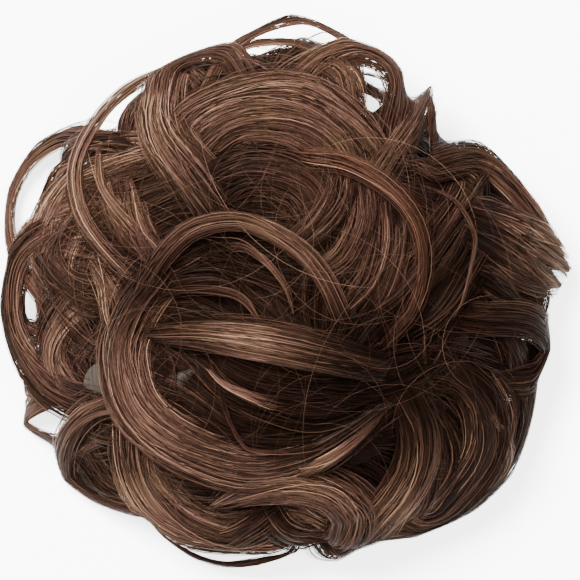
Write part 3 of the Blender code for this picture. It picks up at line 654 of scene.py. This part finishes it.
class Tangle:
    """Gathers strands and cores for one piece, then makes its mesh."""

    def __init__(self):
        self.points = []
        self.faces = []
        self.maps = []
        self.slots = []
        self.total = 0

    def skin(self, rings, closed_round, across, along, slot):
        """Rings (n, steps, sides, 3) round n lines skinned with quads, and their map."""
        points = kept_inside(rings).reshape(-1, 3)
        index = np.arange(len(points)).reshape(rings.shape[:3])
        ahead = np.roll(index, -1, axis=2)
        if not closed_round:
            index, ahead = index[..., :-1], ahead[..., :-1]
        quads = np.stack([index[:, :-1], ahead[:, :-1], ahead[:, 1:], index[:, 1:]], axis=-1)
        quads = quads.reshape(-1, 4)
        if slot != STRANDS:
            middles = points[quads].mean(axis=1, keepdims=True)
            quads = quads[clear_of_gaps(np.repeat(middles, 2, axis=1))]
        places = [np.broadcast_to(part, rings.shape[:3]).reshape(-1) for part in (across, along)]
        self.points.append(points)
        self.faces.append(quads + self.total)
        self.maps.append(np.stack(places, axis=1))
        self.slots.append(np.full(len(quads), slot))
        self.total += len(points)

    def add_lines(self, rings, tones, closed_round):
        """Strands: the map holds their tone (n, steps) and the way along them."""
        along = np.linspace(0.0, 1.0, rings.shape[1])[:, None]
        self.skin(rings, closed_round, tones[..., None], along, STRANDS)

    def add_ribbons(self, lines, halves, outward, rolls, tones):
        """Flat strands: each is turned about itself by its roll, so that together they gleam."""
        clear = clear_of_gaps(lines)
        lines, halves, rolls = lines[clear], halves[clear], rolls[clear]
        side, up = square_to(lines, outward[clear])
        flat = side * np.cos(rolls)[:, None, None] + up * np.sin(rolls)[:, None, None]
        reach = flat * halves[..., None]
        self.add_lines(np.stack([lines - reach, lines + reach], axis=2), tones[clear], False)

    def add_threads(self, lines, radii, outward, tones):
        """Round strands, seen from any side."""
        side, up = square_to(lines, outward)
        rings = []
        for corner in range(THREAD_SIDES):
            turn = math.pi / 2 - math.tau * corner / THREAD_SIDES
            reach = side * math.cos(turn) + up * math.sin(turn)
            rings.append(lines + reach * radii[..., None])
        self.add_lines(np.stack(rings, axis=2), tones, True)

    def piece(self, name, materials, node_name, slot):
        points = (np.vstack(self.points) - np.array([MIDDLE_X, 0.0, 0.0])) * MM
        faces = np.vstack(self.faces)
        mesh = bpy.data.meshes.new(name)
        mesh.vertices.add(len(points))
        mesh.vertices.foreach_set("co", points.astype(np.float32).ravel())
        mesh.loops.add(faces.size)
        mesh.loops.foreach_set("vertex_index", faces.astype(np.int32).ravel())
        mesh.polygons.add(len(faces))
        mesh.polygons.foreach_set("loop_start", np.arange(0, faces.size, 4, dtype=np.int32))
        mesh.update(calc_edges=True)
        strand_map = mesh.uv_layers.new(name="strand")
        places = np.vstack(self.maps)[faces.ravel()]
        strand_map.data.foreach_set("uv", places.astype(np.float32).ravel())
        slots = np.concatenate(self.slots)
        mesh.polygons.foreach_set("material_index", slots.astype(np.int32))
        for finish in materials:
            mesh.materials.append(finish)
        mesh.shade_smooth()
        mesh.validate()
        made = in_scene(name, mesh)
        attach(made, "root")
        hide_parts(node_name)


def add_core(tangle, lock, route):
    """The dark inside of a lock, which stops the eye between its strands."""
    places, shares, length = smooth_curve(route)
    if not clear_of_gaps(places[None], GAP_MARGIN)[0]:
        return
    looks, sides = facing(places)
    size = size_along(shares, lock.ends) * CORE_SHARE
    size[0] = CORE_TIP
    size[-1] = CORE_TIP
    turns = np.linspace(0.0, -math.tau, CORE_SIDES, endpoint=False)
    fan = quadratic(lock.fan, shares)
    rim = (sides[:, None] * (np.cos(turns)[None, :] * fan[:, None] * lock.wide / 2)[..., None]
           + looks[:, None] * (np.sin(turns)[None, :, None] * lock.thick / 2))
    points = places[:, None] + rim * size[:, None, None]
    across = (0.5 + 0.5 * np.cos(turns)) * lock.wide / MAP_UNIT
    along = (shares * length / MAP_UNIT)[:, None]
    tangle.skin(points[None], True, across, along, CORE)


def add_floor_shade_patch(tangle, depth, outline):
    """A grey sheet of painted shade, standing for the shaded floor seen through a gap in the hair."""
    corners = np.array(outline + outline[:1])
    runs = np.linalg.norm(np.diff(corners, axis=0), axis=1)
    stops = np.concatenate([[0.0], np.cumsum(runs)])
    places = np.linspace(0.0, stops[-1], PATCH_SIDES, endpoint=False)
    edge = np.stack([np.interp(places, stops, corners[:, axis]) for axis in (0, 1)], axis=1)
    edge = (np.roll(edge, 1, axis=0) + edge + np.roll(edge, -1, axis=0)) / 3
    middle = edge.mean(axis=0)
    rings = []
    for share in np.linspace(HOLE, 1.0, PATCH_RINGS):
        flat = middle + (edge - middle) * share
        rings.append([(x, y, dome(x, y) - depth - share * share) for x, y in flat])
    points = np.array(rings)
    tangle.skin(points[None], True, points[..., 0] / MAP_UNIT, points[..., 1] / MAP_UNIT, SHADE_PATCH_SLOT)


def ring_core(tangle):
    """The sewn ring of hair round the elastic."""
    major = np.linspace(0, math.tau, RING_STEPS + 1)
    minor = np.linspace(0, math.tau, RING_SIDES + 1)
    out = RING_RADIUS + RING_HALF_WIDE * RING_INSET * np.cos(minor)
    high = RING_MIDDLE + RING_HALF_HIGH * RING_INSET * np.sin(minor)
    dent = RING_DENT * np.exp(-((major - RING_DENT_AT) / RING_DENT_TURN) ** 2)
    out = np.minimum(out[:, None], out.max() - dent[None, :])
    points = np.stack([np.cos(major)[None, :] * out, np.sin(major)[None, :] * out,
                       np.broadcast_to(high[:, None], out.shape)], axis=-1)
    points[..., 0] += MIDDLE_X
    tangle.skin(points[None], False, major * RING_MAP[0], minor[:, None] * RING_MAP[1], CORE)


def mat_core(tangle):
    """The mat of hair over the middle, seen between the locks and from below."""
    turns = np.linspace(0, math.tau, MAT_SIDES + 1)
    shares = np.linspace(HOLE, 1.0, MAT_RINGS)
    outs = MAT_RADIUS * shares
    levels = [(out, dome(out, 0.0) - MAT_SINK) for out in outs]
    levels += [(out, MAT_FLOOR) for out in outs[::-1]]
    points = np.array([[(out * math.cos(t), out * math.sin(t), height) for t in turns]
                       for out, height in levels])
    points[..., 0] += MIDDLE_X
    along = np.concatenate([shares, 2 - shares[::-1]])[:, None] * MAT_MAP[1]
    tangle.skin(points[None], False, turns * MAT_MAP[0], along, CORE)


def wander(rng, rows, shares, size, waves):
    """Smooth wandering along a strand, for each row."""
    total = np.zeros((rows, len(shares)))
    for wave in range(1, waves + 1):
        phase = rng.uniform(0, math.tau, (rows, 1))
        strength = rng.normal(0.0, 1.0, (rows, 1)) / wave
        total += strength * np.sin(math.pi * wave * shares[None, :] * WAVE_RATE + phase)
    return total * size


def painted_light_tone(x, y):
    """Painted light and shade: lighter to the upper left, where the key light falls, darker to the lower
    right, and the painted light and shade of the spots table.
    """
    tone = np.clip((y - x) * PAINTED_LIGHT_SLOPE, -PAINTED_LIGHT_SLOPE_MOST, PAINTED_LIGHT_SLOPE_MOST)
    for spot_x, spot_y, reach, change in PAINTED_LIGHT_SPOTS:
        tone = tone + change * np.exp(-((x - spot_x) ** 2 + (y - spot_y) ** 2) / (2 * reach ** 2))
    return tone


# Painted shade: each strand darkens towards the ends that go down under other locks
def root_shade(shares, ends):
    start, end = hidden(ends)
    return (start * ROOT_PAINTED_SHADE * np.clip(1.0 - shares * ROOT_FADE, 0.0, 1.0)
            + end * ROOT_PAINTED_SHADE * np.clip(1.0 - (1 - shares) * ROOT_FADE, 0.0, 1.0))


def section_places(rng, count, deepest):
    """Places in a lock's section, in half sizes: most on its upper side and some below."""
    turn = rng.uniform(-SIDE_TURN, math.pi + SIDE_TURN, count)
    under = rng.random(count) < UNDER_SHARE
    turn[under] = rng.uniform(math.pi, math.tau, under.sum())
    depth = np.sqrt(rng.uniform(DEPTH_LEAST, deepest, count))
    return np.cos(turn) * depth, np.sin(turn) * depth


def peeling(rng, count, shares, stray):
    """Some strands peel away towards an end: which, and how far sideways and up."""
    peeled = rng.random(count) < stray
    begin = rng.uniform(*PEEL_FROM, count)[:, None]
    way = rng.choice([-1.0, 1.0], count)[:, None]
    past = np.where(way > 0, shares[None] - begin, begin - shares[None])
    peel = np.clip(past, 0.0, 1.0) ** PEEL_POWER * peeled[:, None]
    side = peel * rng.normal(0.0, PEEL_SIDE, (count, 1))
    return peeled, side, peel * rng.uniform(*PEEL_LIFT, (count, 1))


def trimmed(rng, lines, outward):
    """The strands start and end at places of their own, so that a lock's end isn't blunt."""
    count, steps = lines.shape[:2]
    start = TRIM * rng.random((count, 1)) ** TRIM_POWER
    end = 1.0 - TRIM * rng.random((count, 1)) ** TRIM_POWER
    place = (start + (end - start) * np.linspace(0.0, 1.0, steps)[None]) * (steps - 1)
    low = np.minimum(place.astype(int), steps - 2)
    share = (place - low)[..., None]
    row = np.arange(count)[:, None]
    return (part[row, low] * (1 - share) + part[row, low + 1] * share
            for part in (lines, outward))


def add_lock(tangle, rng, lock, route, density, stray):
    """The strands of one lock: gathered in clumps, wavering, and with a few astray."""
    places, shares, length = smooth_curve(route)
    looks, sides = facing(places)
    count = int(RIBBONS_PER_MM * lock.wide * density)
    clumps = max(CLUMPS_LEAST, int(lock.wide * CLUMPS_PER_MM))
    clump_across, clump_height = section_places(rng, clumps, CLUMP_DEPTH)
    clump_tone = rng.normal(0.0, CLUMP_TONE, clumps)
    own = rng.integers(0, clumps, count)
    across, height = section_places(rng, count, STRAND_DEPTH)
    tight = rng.uniform(*GATHER, (clumps, 1)) + wander(rng, clumps, shares, *GATHER_WAVES)
    gather = np.clip(tight, 0.0, GATHER_MOST)[own]
    a = across[:, None] * (1 - gather) + clump_across[own][:, None] * gather
    b = height[:, None] * (1 - gather) + clump_height[own][:, None] * gather
    a = (a + wander(rng, clumps, shares, *CLUMP_SIDE_WAVES)[own]
         + wander(rng, count, shares, *STRAND_WAVES))
    b = (b + wander(rng, clumps, shares, *CLUMP_HIGH_WAVES)[own]
         + rng.normal(0.0, CLUMP_LIFT, clumps)[own][:, None])
    peeled, peel_side, peel_lift = peeling(rng, count, shares, stray)

    fan = quadratic(lock.fan, shares)
    size = size_along(shares, lock.ends)
    loose = wander(rng, count, shares, *WAVER_SIDE)
    lift = wander(rng, count, shares, *WAVER_HIGH)
    outward = sides[None] * a[..., None] / lock.wide * lock.thick + looks[None] * b[..., None]
    aside = a * lock.wide / 2 * LOCK_SPREAD * size * fan + loose + peel_side
    above = b * lock.thick / 2 * size + lift + peel_lift
    lines = places[None] + sides[None] * aside[..., None] + looks[None] * above[..., None]
    lines, outward = trimmed(rng, lines, outward)
    halves = RIBBON_HALF * rng.uniform(*RIBBON_SIZES, count)[:, None]
    halves = halves * taper(shares, *RIBBON_TAPER)[None]
    rolls = rng.uniform(-ROLL, ROLL, count)
    tones = clump_tone[own] + rng.normal(0.0, STRAND_TONE, count) + PEEL_TONE * peeled
    tones = tones[:, None] + (quadratic(lock.tone, shares) + root_shade(shares, lock.ends))[None]
    tones = tones + painted_light_tone(lines[..., 0], lines[..., 1])
    tangle.add_ribbons(lines, halves, outward, rolls, np.clip(tones, *TONES))


def flow_samples(locks_and_roots):
    """Places and directions in plan along every lock, which the strands between them follow."""
    lines = [smooth_curve(lock_route(lock, root))[0][:, :2] for lock, root in locks_and_roots]
    return np.vstack(lines), np.vstack([unit(np.gradient(line, axis=0)) for line in lines])


def field_lines(rng, where, flow):
    """Lines in plan that follow the nearest locks' way and stay within the outline."""
    away = FIELD_RADIUS * np.sqrt(rng.random(FIELD_COUNT))
    turn = rng.uniform(0, math.tau, FIELD_COUNT)
    place = np.stack([away * np.cos(turn), away * np.sin(turn)], axis=1)
    nearest = np.argmin(np.sum((place[:, None] - where[None]) ** 2, axis=-1), axis=1)
    heading = flow[nearest] * rng.choice([-1.0, 1.0], (FIELD_COUNT, 1))
    heading = unit(heading + rng.normal(0.0, FIELD_TURN, (FIELD_COUNT, 2)))
    line = []
    for step in range(FIELD_STEPS):
        line.append(place)
        gap = np.sum((place[:, None] - where[None]) ** 2, axis=-1)
        weight = np.exp(-gap / (2 * FIELD_REACH ** 2)) + TINY
        steer = unit(np.einsum("ij,ij,jk->ik", weight, np.sign(heading @ flow.T), flow))
        heading = unit(heading * FIELD_KEEP + steer)
        place = place + heading * FIELD_STRIDE
    line = np.stack(line, axis=1)
    room = outline_reach(line[..., 0], line[..., 1]) - FIELD_EDGE
    return line[np.all(np.linalg.norm(line, axis=-1) < room, axis=1)]


def add_field(tangle, rng, samples):
    """Strands that fill the hollows between the locks, following the nearest locks' way."""
    line = field_lines(rng, *samples)
    count = len(line)
    height = dome_at(np.minimum(np.linalg.norm(line, axis=-1) / REACH, 1.0))
    shares = np.linspace(0.0, 1.0, FIELD_STEPS)
    sunk = (FIELD_DEPTH + rng.uniform(-FIELD_ROUGH, FIELD_ROUGH, (count, 1))
            + wander(rng, count, shares, *FIELD_DEPTH_WAVES))
    sunk = sunk + FIELD_DIVE * (2 * np.abs(shares - 0.5)[None]) ** 3
    lines = np.dstack([line, (height - sunk)[..., None]])
    waver = wander(rng, count * 2, shares, *FIELD_SIDE_WAVES).reshape(count, 2, -1)
    lines[..., :2] += waver.swapaxes(1, 2)
    outward = np.dstack([line * FIELD_LEAN, np.ones((count, FIELD_STEPS, 1))])
    halves = RIBBON_HALF * rng.uniform(*FIELD_SIZES, (count, 1))
    middle, differ = FIELD_TONE
    tones = middle + rng.normal(0.0, differ, (count, 1)) + painted_light_tone(line[..., 0], line[..., 1])
    rolls = rng.uniform(-ROLL, ROLL, count)
    tangle.add_ribbons(lines, halves, outward, rolls, np.clip(tones, *TONES))


def add_wisps(tangle, rng):
    """Loose single strands that bow across the locks."""
    shares = np.linspace(0.0, 1.0, WISP_STEPS)
    away = WISP_RADIUS * np.sqrt(rng.random(WISP_COUNT))
    turn = rng.uniform(0, math.tau, WISP_COUNT)
    heading = rng.uniform(0, math.tau, WISP_COUNT)
    length = rng.uniform(*WISP_LENGTHS, WISP_COUNT)
    bend = rng.uniform(*WISP_BENDS, WISP_COUNT) * rng.choice([-1.0, 1.0], WISP_COUNT)
    angle = heading[:, None] + bend[:, None] * (shares[None] - 0.5)
    stride = (length / (WISP_STEPS - 1))[:, None]
    middle = (away * np.stack([np.cos(turn), np.sin(turn)]))[..., None]
    plan = middle + np.cumsum(np.stack([np.cos(angle), np.sin(angle)]) * stride, axis=2)
    x, y = plan + middle - np.mean(plan, axis=2, keepdims=True)
    height = dome_at(np.minimum(np.hypot(x, y) / (REACH + WISP_OVER), 1.0))
    bow = np.sin(np.pi * shares)[None] * rng.uniform(*WISP_BOWS, (WISP_COUNT, 1)) - WISP_SINK
    lines = np.stack([x, y, np.maximum(height + bow, WISP_FLOOR)], axis=-1)
    lines = lines[np.all(np.hypot(x, y) < outline_reach(x, y) - WISP_EDGE, axis=1)]
    radii = THREAD_RADIUS * rng.uniform(*THREAD_SIZES, (len(lines), 1))
    radii = radii * taper(shares, *THREAD_TAPER)[None]
    outward = np.broadcast_to(np.array([0.0, 0.0, 1.0]), lines.shape)
    tones = np.clip(rng.normal(*WISP_TONE, (len(lines), 1)), *WISP_TONES)
    tangle.add_threads(lines, radii, outward, tones)


def wire(tree, made, inputs):
    """A shader node's inputs: links from sockets, or fixed values."""
    for name, value in inputs.items():
        if isinstance(value, bpy.types.NodeSocket):
            tree.links.new(value, made.inputs[name])
        else:
            made.inputs[name].default_value = value


def node(tree, kind, inputs, **settings):
    made = tree.nodes.new("ShaderNode" + kind)
    for key, value in settings.items():
        setattr(made, key, value)
    wire(tree, made, inputs)
    return made


def ramp_of(tree, stops, factor):
    made = node(tree, "ValToRGB", {"Fac": factor})
    ramp = made.color_ramp
    for element, (place, colour) in zip(ramp.elements, (stops[0], stops[-1])):
        element.position = place
        element.color = (*colour, 1.0)
    for place, colour in stops[1:-1]:
        ramp.elements.new(place).color = (*colour, 1.0)
    return made.outputs["Color"]


def new_material(name):
    made = bpy.data.materials.new(name)
    made.use_nodes = True
    return made, made.node_tree, made.node_tree.nodes["Principled BSDF"]


def grain_noise(tree, place, grain, inputs):
    drawn = node(tree, "Mapping", {"Vector": place.outputs["UV"], "Scale": grain})
    vector = drawn.outputs["Vector"]
    noise = node(tree, "TexNoise", {"Vector": vector, "Scale": 1.0, **inputs})
    return noise.outputs["Fac"]


def strand_material(name, stops, roughness=0.40, gloss=0.02):
    """Hair whose tone is the map's first value, and varies softly along each strand."""
    made, tree, shader = new_material(name)
    place = node(tree, "UVMap", {}, uv_map="strand")
    split = node(tree, "SeparateXYZ", {"Vector": place.outputs["UV"]})
    noise = grain_noise(tree, place, STRAND_GRAIN, {"Detail": 2.0})
    shift = node(tree, "Math", {0: noise, 1: GRAIN_TONE, 2: -GRAIN_TONE / 2}, operation="MULTIPLY_ADD")
    tone = node(tree, "Math", {0: split.outputs["X"], 1: shift.outputs["Value"]}, operation="ADD")
    body = node(tree, "TexCoord", {})
    drift = node(tree, "TexNoise", {"Vector": body.outputs["Object"], "Scale": HUE_SCALE})
    tint = node(tree, "Mix", {}, data_type="RGBA", blend_type="MULTIPLY")
    wire(tree, tint, {"Factor": 1.0,
                      MIX_FIRST: ramp_of(tree, stops, tone.outputs["Value"]),
                      MIX_SECOND: ramp_of(tree, HUE_STOPS, drift.outputs["Fac"])})
    wire(tree, shader, {"Base Color": tint.outputs[MIX_RESULT], "Roughness": roughness,
                        "Specular IOR Level": gloss, "Specular Tint": GLEAM_TINT})
    return made


def core_material(name, stops):
    """The inside of the locks: dark streaks that run along them."""
    made, tree, shader = new_material(name)
    place = node(tree, "UVMap", {}, uv_map="strand")
    noise = grain_noise(tree, place, CORE_GRAIN, {"Detail": 4.0, "Roughness": 0.65})
    bump = node(tree, "Bump", {"Strength": 0.6, "Distance": 0.0003, "Height": noise})
    wire(tree, shader, {"Base Color": ramp_of(tree, stops, noise),
                        "Normal": bump.outputs["Normal"],
                        "Roughness": 0.6, "Specular IOR Level": 0.03})
    return made


def elastic_material():
    """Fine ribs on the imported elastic."""
    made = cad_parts["elastic_band"].data.materials[0]
    made.use_nodes = True
    tree = made.node_tree
    shader = next(n for n in tree.nodes if n.type == "BSDF_PRINCIPLED")
    place = node(tree, "TexCoord", {})
    ribs = node(tree, "TexWave", {"Vector": place.outputs["Object"], "Scale": RIB_SCALE, "Distortion": 1.0},
                bands_direction="Z")
    height = ribs.outputs["Fac"]
    bump = node(tree, "Bump", {"Distance": 0.0002, "Height": height})
    wire(tree, shader, {"Base Color": ramp_of(tree, RIB_STOPS, height),
                        "Normal": bump.outputs["Normal"], "Roughness": 0.8})


brown_strands = strand_material("hair_brown_strands", BROWN_STOPS)
light_strands = strand_material("hair_light_strands", BROWN_STOPS, 0.38, 0.035)
red_strands = strand_material("hair_red_strands", RED_STOPS)
dark_core = core_material("hair_dark_core", CORE_STOPS)
# Painted shade: grey sheets standing for the shaded floor seen through gaps
floor_shade_patch = core_material("floor_shade_patch", FLOOR_SHADE_STOPS)
FINISHES = {"hair_light": light_strands, "hair_brown": brown_strands, "hair_red": red_strands}
HAIR = (brown_strands, dark_core)


def add_single_locks(rng):
    for lock, slot, density in SINGLE_LOCKS:
        tangle = Tangle()
        route = lock_route(lock, CROWN_ROOT)
        if lock.wide > SINGLE_CORE_LEAST:
            add_core(tangle, lock, route)
        add_lock(tangle, rng, lock, route, density, LOCK_STRAY)
        tangle.piece(lock.name + "_hair", (FINISHES[slot], dark_core), lock.name, slot)


def add_row(tangle, rng, locks, root, pieces, node_name, stray):
    """A row of locks in its table's pieces; the first also holds the cores."""
    for lock in locks:
        if lock.wide > CORE_LEAST:
            add_core(tangle, lock, lock_route(lock, root))
    for first, last, name in pieces:
        for lock in locks[first:last]:
            add_lock(tangle, rng, lock, lock_route(lock, root), 1.0, stray)
        tangle.piece(name, HAIR, node_name, "hair_brown")
        tangle = Tangle()


def add_between(rng):
    """What fills the spaces between the locks."""
    samples = flow_samples([(lock, CROWN_ROOT) for lock in CROWN_LOCKS + TOP_LOCKS]
                           + [(lock, OUTER_ROOT) for lock in RIM_LOCKS])
    between = Tangle()
    add_field(between, rng, samples)
    for lock in BETWEEN_LOCKS:
        root = CROWN_ROOT if math.hypot(*lock.path[1]) < MAT_RADIUS else OUTER_ROOT
        add_lock(between, rng, lock, lock_route(lock, root), 1.0, BETWEEN_STRAY)
    for depth, outline in FLOOR_SHADE_PATCHES:
        add_floor_shade_patch(between, depth, outline)
    between.piece("crown_hair_between", (*HAIR, floor_shade_patch), "crown_curls", "hair_brown")


def add_flank(rng):
    flank = Tangle()
    ring_core(flank)
    curl = Lock("flank", FLANK_WIDE, FLANK_THICK, (), FLANK_TONE, ())
    for number in range(FLANK_CURLS):
        add_core(flank, curl, flank_route(number))
        add_lock(flank, rng, curl, flank_route(number), FLANK_DENSITY, 0.0)
    flank.piece("outer_hair_flank", HAIR, "outer_curls", "hair_brown")


def build_hair():
    rng = np.random.default_rng(SEED)
    add_single_locks(rng)
    crown = Tangle()
    mat_core(crown)
    add_row(crown, rng, CROWN_LOCKS, CROWN_ROOT, CROWN_PIECES, "crown_curls", LOCK_STRAY)
    add_between(rng)
    add_row(Tangle(), rng, RIM_LOCKS, OUTER_ROOT, OUTER_PIECES, "outer_curls", RIM_STRAY)
    add_flank(rng)
    wisps = Tangle()
    add_wisps(wisps, rng)
    wisps.piece("loose_strands", HAIR, "crown_curls", "hair_light")


def set_floor():
    bpy.ops.mesh.primitive_plane_add(size=FLOOR_SIZE)
    floor = bpy.context.object
    floor.name = "floor"
    pale, tree, shader = new_material("pale_floor")
    wire(tree, shader, {"Base Color": FLOOR_COLOUR, "Roughness": 0.9,
                        "Emission Color": GLOW_COLOUR, "Emission Strength": FLOOR_GLOW})
    floor.data.materials.append(pale)


def set_camera():
    camera = bpy.data.cameras.new("camera")
    camera.sensor_width = SENSOR
    camera.lens = SENSOR * (CAMERA_HEIGHT - FOCUS_HEIGHT) / FRAME_WIDE
    camera.clip_end = VIEW_END
    eye = in_scene("camera", camera)
    eye.location = (-MIDDLE_X * MM, 0.0, CAMERA_HEIGHT)
    bpy.context.scene.camera = eye


def set_lights():
    world = bpy.data.worlds.new("studio")
    world.use_nodes = True
    sky = world.node_tree.nodes["Background"]
    wire(world.node_tree, sky, {"Color": WHITE, "Strength": SKY_POWER})
    bpy.context.scene.world = world
    for name, place, size, power in LIGHTS:
        light = bpy.data.lights.new(name, "AREA")
        light.shape = "DISK"
        light.size = size
        light.energy = power
        lamp = in_scene(name, light)
        lamp.location = place
        lamp.rotation_mode = "QUATERNION"
        lamp.rotation_quaternion = (-Vector(place)).to_track_quat("-Z", "Y")


build_hair()
elastic_material()
set_floor()
set_camera()
set_lights()
